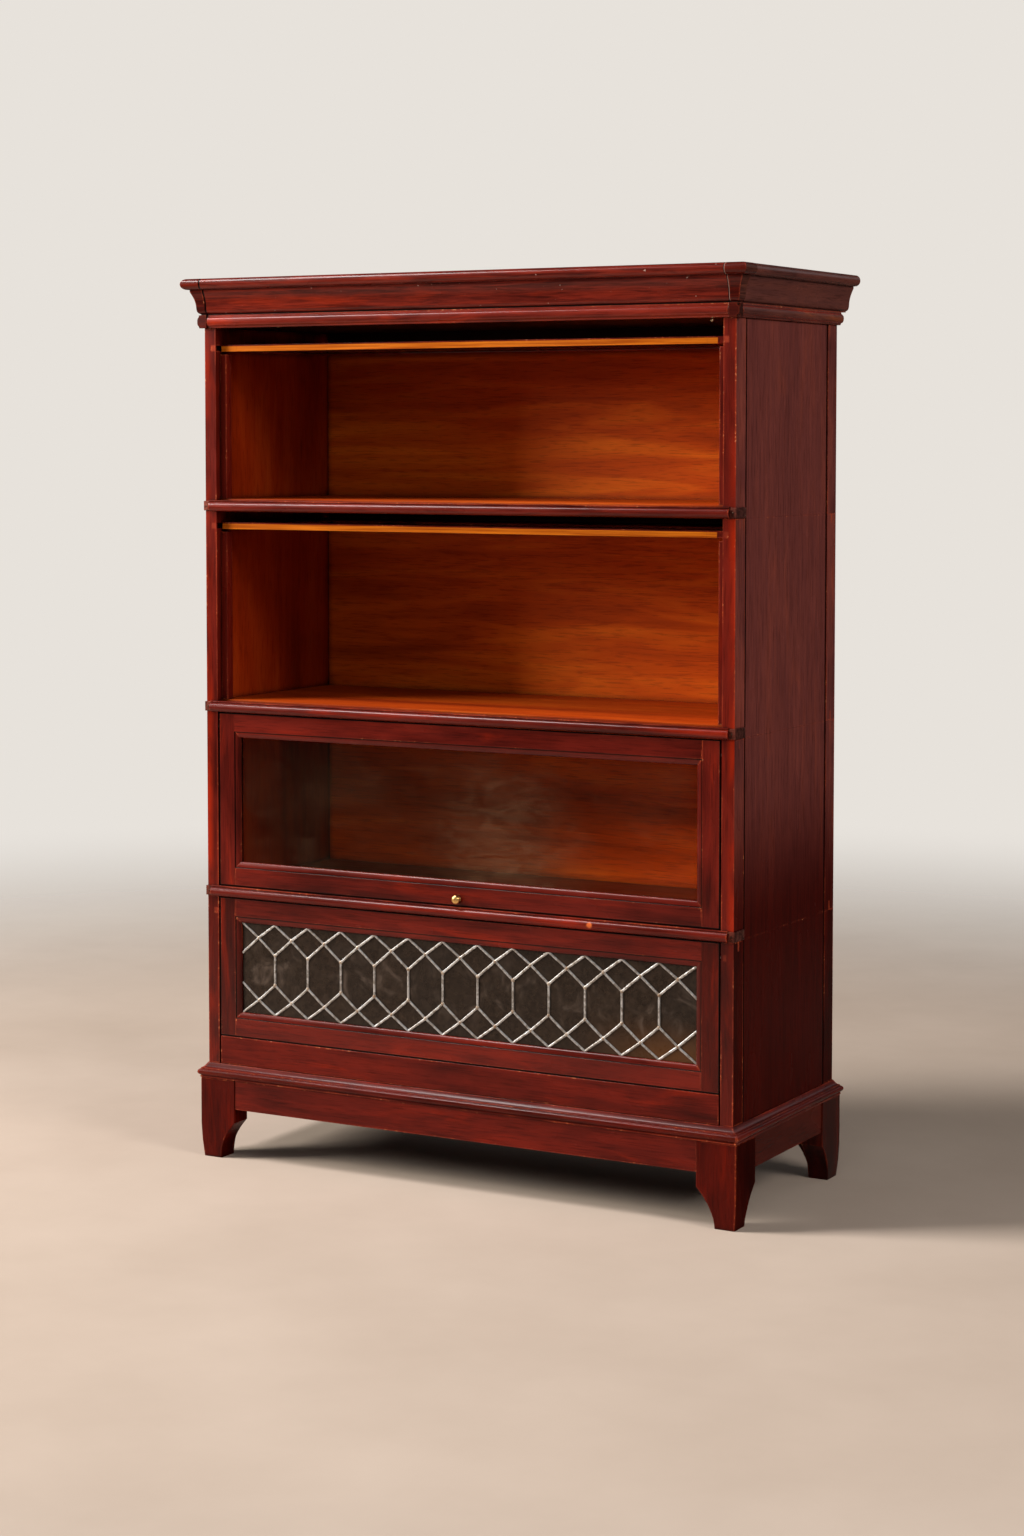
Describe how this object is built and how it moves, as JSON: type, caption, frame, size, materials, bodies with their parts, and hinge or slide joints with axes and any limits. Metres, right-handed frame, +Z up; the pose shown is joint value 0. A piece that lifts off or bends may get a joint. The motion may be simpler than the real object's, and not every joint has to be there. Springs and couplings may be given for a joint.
{
  "type": "barrister bookcase",
  "caption": "Stacked barrister bookcase with lift-up glazed doors that slide back over the books, leaded bottom door, moulded crown and legged base.",
  "frame": {"origin": "on the floor, under the middle of the case", "axes": "+Z up, +X to the right and -Y out of the front, where the doors are"},
  "size_m": [0.9164, 0.3944, 1.31],
  "materials": {
    "base_wood": "dark red mahogany finish, satin",
    "case_wood": "dark red mahogany finish, satin, worn edges",
    "crown_wood": "dark red mahogany finish, satin, worn edges",
    "door_wood": "dark red mahogany finish, raw lower edges",
    "interior_wood": "warm orange-brown varnish",
    "dowel_wood": "plain beech",
    "clear_glass": "old clear glass with a dusty haze",
    "leaded_glass": "smoky glass in lead cames",
    "came_metal": "weathered lead-grey came",
    "knob_brass": "aged brass",
    "slide_steel": "plain steel",
    "strap_metal": "dark bronzed metal"
  },
  "bodies": {
    "case": {"base_front_legs": "base_wood", "base_rear_legs": "base_wood", "base_front_apron": "base_wood", "base_side_aprons": "base_wood", "base_rear_apron": "base_wood", "base_moulding": "base_wood", "base_deck": "interior_wood", "unit_1_left_side": "case_wood", "unit_1_right_side": "case_wood", "unit_1_posts": "case_wood", "unit_1_back": "interior_wood", "unit_1_shelf": "interior_wood", "unit_1_nosing": "case_wood", "unit_2_left_side": "case_wood", "unit_2_right_side": "case_wood", "unit_2_posts": "case_wood", "unit_2_back": "interior_wood", "unit_2_shelf": "interior_wood", "unit_2_nosing": "case_wood", "unit_3_left_side": "case_wood", "unit_3_right_side": "case_wood", "unit_3_posts": "case_wood", "unit_3_back": "interior_wood", "unit_3_shelf": "interior_wood", "unit_3_nosing": "case_wood", "unit_4_left_side": "case_wood", "unit_4_right_side": "case_wood", "unit_4_posts": "case_wood", "unit_4_back": "interior_wood", "unit_4_shelf": "interior_wood", "unit_4_toe_rail": "case_wood", "crown_front": "crown_wood", "crown_sides": "crown_wood", "crown_corner_blocks": "crown_wood", "crown_back": "crown_wood", "crown_top": "crown_wood", "crown_ceiling": "interior_wood", "crown_bead": "crown_wood", "corner_straps": "strap_metal", "stacking_dowels": "dowel_wood", "door_stops": "case_wood"},
    "slides_1": {"door_1_slides": "slide_steel"},
    "door_1": {"door_1_stiles": "door_wood", "door_1_rails": "door_wood", "door_1_glass": "clear_glass"},
    "slides_2": {"door_2_slides": "slide_steel"},
    "door_2": {"door_2_stiles": "door_wood", "door_2_rails": "door_wood", "door_2_glass": "clear_glass"},
    "slides_3": {"door_3_slides": "slide_steel"},
    "door_3": {"door_3_stiles": "door_wood", "door_3_rails": "door_wood", "door_3_glass": "clear_glass", "door_3_knob": "knob_brass"},
    "slides_4": {"door_4_slides": "slide_steel"},
    "door_4": {"door_4_stiles": "door_wood", "door_4_rails": "door_wood", "door_4_glass": "leaded_glass", "door_4_cames": "came_metal"}
  },
  "joints": [
    {"name": "door_1_glide", "type": "slide", "parent": "case", "child": "slides_1", "axis": [0, 1, 0], "range_m": [-0.23, 0.0005]},
    {"name": "door_1_lift", "type": "hinge", "parent": "slides_1", "child": "door_1", "pos_m": [0, 0.064, 1.2085], "axis": [-1, 0, 0], "range_deg": [-90, 0]},
    {"name": "door_2_glide", "type": "slide", "parent": "case", "child": "slides_2", "axis": [0, 1, 0], "range_m": [-0.266, 0.0005]},
    {"name": "door_2_lift", "type": "hinge", "parent": "slides_2", "child": "door_2", "pos_m": [0, 0.1, 0.9465], "axis": [-1, 0, 0], "range_deg": [-90, 0]},
    {"name": "door_3_glide", "type": "slide", "parent": "case", "child": "slides_3", "axis": [0, 1, 0], "range_m": [-0.0005, 0.244]},
    {"name": "door_3_lift", "type": "hinge", "parent": "slides_3", "child": "door_3", "pos_m": [0, -0.1655, 0.6485], "axis": [-1, 0, 0], "range_deg": [0, 90]},
    {"name": "door_4_glide", "type": "slide", "parent": "case", "child": "slides_4", "axis": [0, 1, 0], "range_m": [-0.0005, 0.194]},
    {"name": "door_4_lift", "type": "hinge", "parent": "slides_4", "child": "door_4", "pos_m": [0, -0.1655, 0.3725], "axis": [-1, 0, 0], "range_deg": [0, 90]}
  ],
  "couplings": [
    {"joint": "door_1_glide", "follows": "door_1_lift", "m_per_rad": 0.1461},
    {"joint": "door_2_glide", "follows": "door_2_lift", "m_per_rad": 0.16902},
    {"joint": "door_3_glide", "follows": "door_3_lift", "m_per_rad": 0.15502},
    {"joint": "door_4_glide", "follows": "door_4_lift", "m_per_rad": 0.12319}
  ]
}
